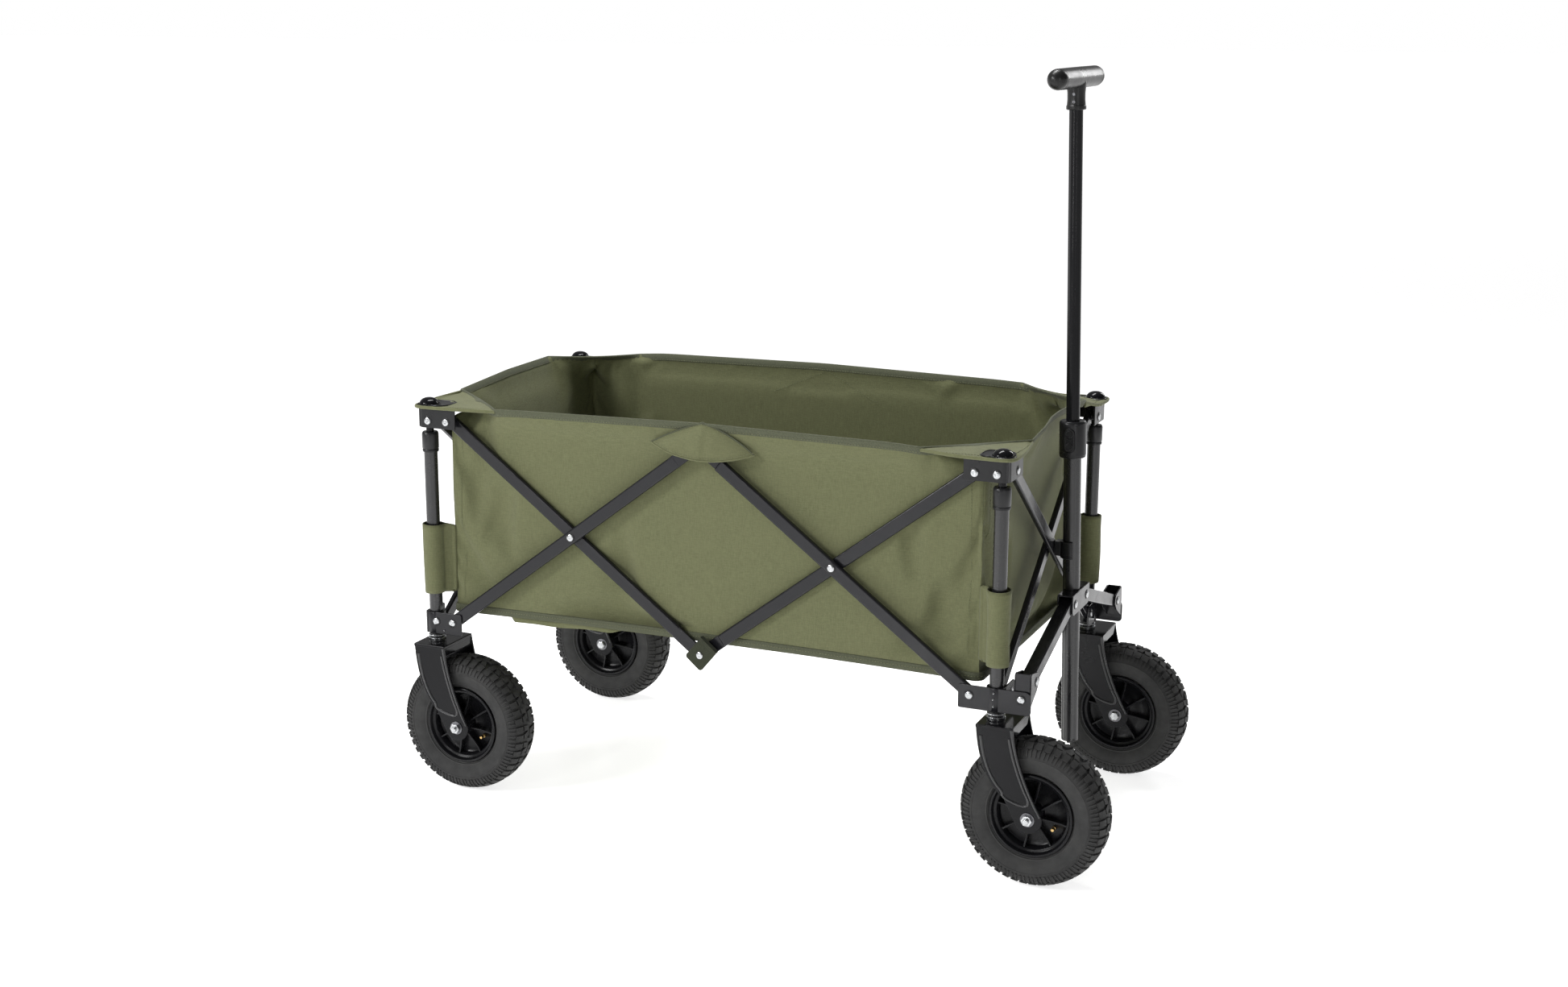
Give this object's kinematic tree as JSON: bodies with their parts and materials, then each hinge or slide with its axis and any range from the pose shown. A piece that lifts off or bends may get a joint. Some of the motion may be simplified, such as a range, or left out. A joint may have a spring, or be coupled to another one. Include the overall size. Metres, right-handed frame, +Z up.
{
  "type": "folding wagon with pull handle",
  "caption": "Folding canvas wagon on a scissor frame, with pneumatic wheels, swivelling front casters and a telescopic pull handle.",
  "frame": {"origin": "on the ground, at the middle of the whole wagon's footprint", "axes": "+Z up, +X towards the pulling end, +Y to the wagon's left"},
  "size_m": [1.1586, 0.5908, 1.1427],
  "materials": {
    "painted_steel": "satin",
    "gloss_steel": "gloss",
    "moulded_plastic": "matte",
    "tyre_rubber": "matte",
    "canvas": "woven"
  },
  "bodies": {
    "base_rr": {"post_rr": "painted_steel", "collar_rr": "moulded_plastic", "low_bracket_rr": "painted_steel", "fork_rr": "gloss_steel"},
    "base_rl": {"post_rl": "painted_steel", "collar_rl": "moulded_plastic", "low_bracket_rl": "painted_steel", "fork_rl": "gloss_steel"},
    "base_fr": {"post_fr": "painted_steel", "collar_fr": "moulded_plastic", "low_bracket_fr": "painted_steel"},
    "base_fl": {"post_fl": "painted_steel", "collar_fl": "moulded_plastic", "low_bracket_fl": "painted_steel"},
    "top_rr": {"top_bracket_rr": "moulded_plastic", "rod_rr": "painted_steel", "bag_side_right": "canvas", "bag_end_rear": "canvas"},
    "top_rl": {"top_bracket_rl": "moulded_plastic", "rod_rl": "painted_steel", "bag_side_left": "canvas"},
    "top_fr": {"top_bracket_fr": "moulded_plastic", "rod_fr": "painted_steel", "bag_end_front": "canvas"},
    "top_fl": {"top_bracket_fl": "moulded_plastic", "rod_fl": "painted_steel"},
    "bar_rear_low_right": {"side_bar_rear_low_right": "painted_steel"},
    "bar_rear_high_right": {"side_bar_rear_high_right": "painted_steel"},
    "bar_front_low_right": {"side_bar_front_low_right": "painted_steel"},
    "bar_front_high_right": {"side_bar_front_high_right": "painted_steel"},
    "bar_rear_low_left": {"side_bar_rear_low_left": "painted_steel"},
    "bar_rear_high_left": {"side_bar_rear_high_left": "painted_steel"},
    "bar_front_low_left": {"side_bar_front_low_left": "painted_steel"},
    "bar_front_high_left": {"side_bar_front_high_left": "painted_steel"},
    "end_inner_rear": {"end_bar_inner_rear": "painted_steel"},
    "end_outer_rear": {"end_bar_outer_rear": "painted_steel"},
    "end_inner_front": {"end_bar_inner_front": "painted_steel"},
    "end_outer_front": {"end_bar_outer_front": "painted_steel"},
    "floor_right": {"bag_floor_right": "canvas"},
    "yoke_right": {"handle_yoke_right": "painted_steel"},
    "arm_right": {"handle_arm_right": "painted_steel"},
    "floor_left": {"bag_floor_left": "canvas"},
    "yoke_left": {"handle_yoke_left": "painted_steel"},
    "arm_left": {"handle_arm_left": "painted_steel"},
    "caster_fr": {"fork_fr": "gloss_steel"},
    "caster_fl": {"fork_fl": "gloss_steel"},
    "wheel_rr": {"tyre_rr": "tyre_rubber", "rim_rr": "moulded_plastic"},
    "wheel_rl": {"tyre_rl": "tyre_rubber", "rim_rl": "moulded_plastic"},
    "wheel_fr": {"tyre_fr": "tyre_rubber", "rim_fr": "moulded_plastic"},
    "wheel_fl": {"tyre_fl": "tyre_rubber", "rim_fl": "moulded_plastic"},
    "pole": {"pole_outer": "painted_steel", "pole_clamp": "moulded_plastic"},
    "button": {"pole_button": "moulded_plastic"},
    "slider": {"pole_inner": "painted_steel", "grip": "moulded_plastic"},
    "clip": {"pole_clip": "moulded_plastic"}
  },
  "joints": [
    {"name": "fold", "type": "hinge", "parent": "base_rr", "child": "bar_rear_low_right", "pos_m": [-0.489, -0.2424, 0.272], "axis": [0, -1, 0], "range_deg": [0, 38], "deforming": ["bag_side_right", "bag_side_left", "bag_end_rear", "bag_end_front", "bag_floor_right", "bag_floor_left"]},
    {"name": "rear_crossing_right", "type": "hinge", "parent": "bar_rear_low_right", "child": "bar_rear_high_right", "pos_m": [-0.27425, -0.2424, 0.434], "axis": [0, -1, 0], "range_deg": [-76.01, 0]},
    {"name": "rear_top_pivot_right", "type": "hinge", "parent": "bar_rear_high_right", "child": "top_rr", "pos_m": [-0.489, -0.2424, 0.596], "axis": [0, -1, 0], "range_deg": [0, 38.01]},
    {"name": "top_centre_right", "type": "hinge", "parent": "bar_rear_low_right", "child": "bar_front_low_right", "pos_m": [-0.0595, -0.2424, 0.596], "axis": [0, -1, 0], "range_deg": [-76.01, 0]},
    {"name": "front_crossing_right", "type": "hinge", "parent": "bar_front_low_right", "child": "bar_front_high_right", "pos_m": [0.15525, -0.2424, 0.434], "axis": [0, -1, 0], "range_deg": [0, 76.01]},
    {"name": "front_top_pivot_right", "type": "hinge", "parent": "bar_front_high_right", "child": "top_fr", "pos_m": [0.37, -0.2424, 0.596], "axis": [0, -1, 0], "range_deg": [-38.01, 0]},
    {"name": "front_low_pivot_right", "type": "hinge", "parent": "bar_front_low_right", "child": "base_fr", "pos_m": [0.37, -0.2424, 0.272], "axis": [0, -1, 0], "range_deg": [0, 38.01]},
    {"name": "rear_end_low", "type": "hinge", "parent": "base_rr", "child": "end_inner_rear", "pos_m": [-0.526, -0.21475, 0.272], "axis": [1, 0, 0], "range_deg": [0, 38.01]},
    {"name": "rear_end_crossing", "type": "hinge", "parent": "end_inner_rear", "child": "end_outer_rear", "pos_m": [-0.526, 0, 0.434], "axis": [1, 0, 0], "range_deg": [-76.01, 0]},
    {"name": "rear_end_top", "type": "hinge", "parent": "end_inner_rear", "child": "top_rl", "pos_m": [-0.526, 0.21475, 0.596], "axis": [1, 0, 0], "range_deg": [-38.01, 0]},
    {"name": "rear_end_foot", "type": "hinge", "parent": "end_outer_rear", "child": "base_rl", "pos_m": [-0.526, 0.21475, 0.272], "axis": [1, 0, 0], "range_deg": [0, 38.01]},
    {"name": "rear_low_pivot_left", "type": "hinge", "parent": "base_rl", "child": "bar_rear_low_left", "pos_m": [-0.489, 0.2424, 0.272], "axis": [0, -1, 0], "range_deg": [0, 38.01]},
    {"name": "rear_crossing_left", "type": "hinge", "parent": "bar_rear_low_left", "child": "bar_rear_high_left", "pos_m": [-0.27425, 0.2424, 0.434], "axis": [0, -1, 0], "range_deg": [-76.01, 0]},
    {"name": "top_centre_left", "type": "hinge", "parent": "bar_rear_low_left", "child": "bar_front_low_left", "pos_m": [-0.0595, 0.2424, 0.596], "axis": [0, -1, 0], "range_deg": [-76.01, 0]},
    {"name": "front_crossing_left", "type": "hinge", "parent": "bar_front_low_left", "child": "bar_front_high_left", "pos_m": [0.15525, 0.2424, 0.434], "axis": [0, -1, 0], "range_deg": [0, 76.01]},
    {"name": "front_top_pivot_left", "type": "hinge", "parent": "bar_front_high_left", "child": "top_fl", "pos_m": [0.37, 0.2424, 0.596], "axis": [0, -1, 0], "range_deg": [-38.01, 0]},
    {"name": "front_low_pivot_left", "type": "hinge", "parent": "bar_front_low_left", "child": "base_fl", "pos_m": [0.37, 0.2424, 0.272], "axis": [0, -1, 0], "range_deg": [0, 38.01]},
    {"name": "front_end_low", "type": "hinge", "parent": "base_fr", "child": "end_inner_front", "pos_m": [0.407, -0.21475, 0.272], "axis": [1, 0, 0], "range_deg": [0, 38.01]},
    {"name": "front_end_crossing", "type": "hinge", "parent": "end_inner_front", "child": "end_outer_front", "pos_m": [0.407, 0, 0.434], "axis": [1, 0, 0], "range_deg": [-76.01, 0]},
    {"name": "clip_pivot", "type": "hinge", "parent": "end_inner_front", "child": "clip", "pos_m": [0.407, 0, 0.434], "axis": [1, 0, 0], "range_deg": [-38.01, 0]},
    {"name": "handle_tilt", "type": "hinge", "parent": "base_fr", "child": "yoke_right", "pos_m": [0.4469, -0.2424, 0.275], "axis": [0, 1, 0], "range_deg": [0, 80], "deforming": ["pole_clip"]},
    {"name": "left_yoke_tilt", "type": "hinge", "parent": "base_fl", "child": "yoke_left", "pos_m": [0.4469, 0.2424, 0.275], "axis": [0, 1, 0], "range_deg": [0, 80.01]},
    {"name": "right_arm_lift", "type": "hinge", "parent": "yoke_right", "child": "arm_right", "pos_m": [0.4481, -0.226, 0.295], "axis": [1, 0, 0], "range_deg": [0, 58.3]},
    {"name": "left_arm_lift", "type": "hinge", "parent": "yoke_left", "child": "arm_left", "pos_m": [0.4481, 0.226, 0.295], "axis": [-1, 0, 0], "range_deg": [0, 58.3]},
    {"name": "pole_level", "type": "hinge", "parent": "arm_right", "child": "pole", "pos_m": [0.4481, -0.031, 0.357], "axis": [1, 0, 0], "range_deg": [-58.3, 0]},
    {"name": "telescope", "type": "slide", "parent": "pole", "child": "slider", "axis": [0.0262, 0, -0.9997], "range_m": [0, 0.43]},
    {"name": "release_button", "type": "slide", "parent": "pole", "child": "button", "axis": [0, 1, 0], "range_m": [0, 0.002], "stiffness_N_per_m": 300},
    {"name": "floor_lift_right", "type": "hinge", "parent": "top_rr", "child": "floor_right", "pos_m": [-0.0595, -0.23, 0.291], "axis": [1, 0, 0], "range_deg": [0, 68.29]},
    {"name": "floor_lift_left", "type": "hinge", "parent": "top_rl", "child": "floor_left", "pos_m": [-0.0595, 0.23, 0.291], "axis": [-1, 0, 0], "range_deg": [0, 68.29]},
    {"name": "caster_swivel_fr", "type": "hinge", "parent": "base_fr", "child": "caster_fr", "pos_m": [0.407, -0.2424, 0.2], "axis": [0, 0, 1], "continuous": true},
    {"name": "caster_swivel_fl", "type": "hinge", "parent": "base_fl", "child": "caster_fl", "pos_m": [0.407, 0.2424, 0.2], "axis": [0, 0, 1], "continuous": true},
    {"name": "wheel_spin_rr", "type": "hinge", "parent": "base_rr", "child": "wheel_rr", "pos_m": [-0.47, -0.2424, 0.10931], "axis": [0, 1, 0], "continuous": true},
    {"name": "wheel_spin_rl", "type": "hinge", "parent": "base_rl", "child": "wheel_rl", "pos_m": [-0.47, 0.2424, 0.10931], "axis": [0, 1, 0], "continuous": true},
    {"name": "wheel_spin_fr", "type": "hinge", "parent": "caster_fr", "child": "wheel_fr", "pos_m": [0.47, -0.2424, 0.10931], "axis": [0, 1, 0], "continuous": true},
    {"name": "wheel_spin_fl", "type": "hinge", "parent": "caster_fl", "child": "wheel_fl", "pos_m": [0.47, 0.2424, 0.10931], "axis": [0, 1, 0], "continuous": true}
  ],
  "couplings": [
    {"joint": "rear_crossing_right", "follows": "fold", "ratio": -2},
    {"joint": "rear_top_pivot_right", "follows": "fold", "ratio": 1},
    {"joint": "top_centre_right", "follows": "fold", "ratio": -2},
    {"joint": "front_crossing_right", "follows": "fold", "ratio": 2},
    {"joint": "front_top_pivot_right", "follows": "fold", "ratio": -1},
    {"joint": "front_low_pivot_right", "follows": "fold", "ratio": 1},
    {"joint": "rear_end_low", "follows": "fold", "ratio": 1},
    {"joint": "rear_end_crossing", "follows": "fold", "ratio": -2},
    {"joint": "rear_end_top", "follows": "fold", "ratio": -1},
    {"joint": "rear_end_foot", "follows": "fold", "ratio": 1},
    {"joint": "rear_low_pivot_left", "follows": "fold", "ratio": 1},
    {"joint": "rear_crossing_left", "follows": "fold", "ratio": -2},
    {"joint": "top_centre_left", "follows": "fold", "ratio": -2},
    {"joint": "front_crossing_left", "follows": "fold", "ratio": 2},
    {"joint": "front_top_pivot_left", "follows": "fold", "ratio": -1},
    {"joint": "front_low_pivot_left", "follows": "fold", "ratio": 1},
    {"joint": "front_end_low", "follows": "fold", "ratio": 1},
    {"joint": "front_end_crossing", "follows": "fold", "ratio": -2},
    {"joint": "clip_pivot", "follows": "fold", "ratio": -1},
    {"joint": "left_yoke_tilt", "follows": "handle_tilt", "ratio": 1},
    {"joint": "right_arm_lift", "follows": "fold", "ratio": 1.534},
    {"joint": "left_arm_lift", "follows": "fold", "ratio": 1.534},
    {"joint": "pole_level", "follows": "fold", "ratio": -1.534},
    {"joint": "floor_lift_right", "follows": "fold", "ratio": 1.7969},
    {"joint": "floor_lift_left", "follows": "fold", "ratio": 1.7969}
  ]
}
